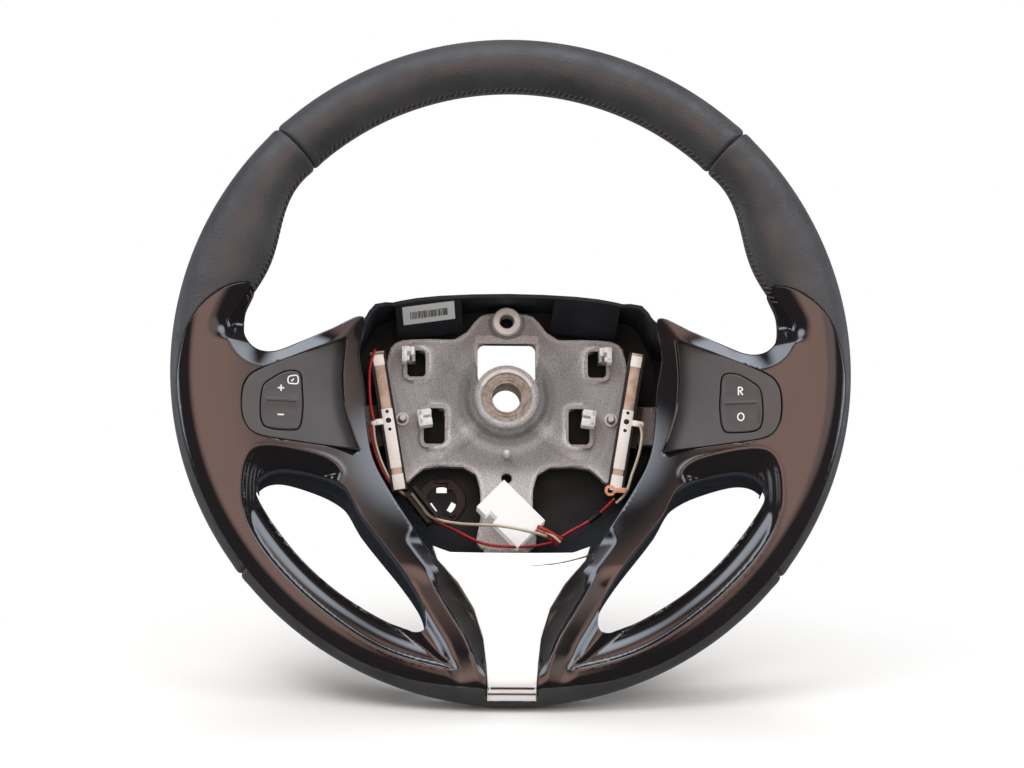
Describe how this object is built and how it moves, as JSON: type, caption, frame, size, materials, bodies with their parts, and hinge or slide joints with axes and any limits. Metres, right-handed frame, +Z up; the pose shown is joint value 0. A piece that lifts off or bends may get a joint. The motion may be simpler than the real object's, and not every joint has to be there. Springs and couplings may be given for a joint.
{
  "type": "car steering wheel",
  "caption": "Leather-wrapped car steering wheel without its airbag: cast armature, gloss side trims, two rocker switches, bright lower insert, open hub bay.",
  "frame": {"origin": "centre of the column bore in the rear face of the hub bush", "axes": "+Y along the column bore towards the rear of the wheel, +Z up the wheel's face, +X to the driver's right"},
  "size_m": [0.38, 0.1158, 0.38],
  "materials": {
    "cast_metal": "as cast, mottled",
    "steel": "turned",
    "leather": "fine grain, satin",
    "foam": "matt",
    "gloss_black": "high gloss",
    "satin_grey": "satin",
    "black_plastic": "matt",
    "bright": "polished",
    "tinned": "tinned sheet",
    "copper": "dull",
    "white_plastic": "satin",
    "paper": "matt paper",
    "red_wire": "satin",
    "cream_wire": "satin"
  },
  "bodies": {
    "wheel": {"armature": "cast_metal", "hub_bush": "steel", "locating_pin": "steel", "rim_foam": "foam", "leather_upper": "leather", "leather_lower": "leather", "leather_left_grip": "leather", "leather_right_grip": "leather", "left_trim": "gloss_black", "right_trim": "gloss_black", "lower_insert": "bright", "back_cover": "black_plastic", "cover_screws": "steel", "left_switch_panel": "satin_grey", "right_switch_panel": "satin_grey", "left_switch_body": "black_plastic", "right_switch_body": "black_plastic", "left_contact_carrier": "black_plastic", "right_contact_carrier": "black_plastic", "left_contact_strip": "tinned", "right_contact_strip": "tinned", "cable_holder": "black_plastic", "eyelet_terminal": "copper", "connector": "white_plastic", "paper_label": "paper", "red_wire_left": "red_wire", "red_wire_lower": "red_wire", "cream_wire_lower": "cream_wire", "red_wire_right": "red_wire", "cream_wire_right": "cream_wire"},
    "left_key": {"left_rocker": "satin_grey"},
    "right_key": {"right_rocker": "satin_grey"}
  },
  "joints": [
    {"name": "left_key_rock", "type": "hinge", "parent": "wheel", "child": "left_key", "pos_m": [-0.12863, -0.1057, -0.0208], "axis": [0.9744, 0.225, 0], "range_deg": [-3, 3], "stiffness_Nm_per_rad": 0.6},
    {"name": "right_key_rock", "type": "hinge", "parent": "wheel", "child": "right_key", "pos_m": [0.12863, -0.1057, -0.0208], "axis": [0.9744, -0.225, 0], "range_deg": [-3, 3], "stiffness_Nm_per_rad": 0.6}
  ]
}
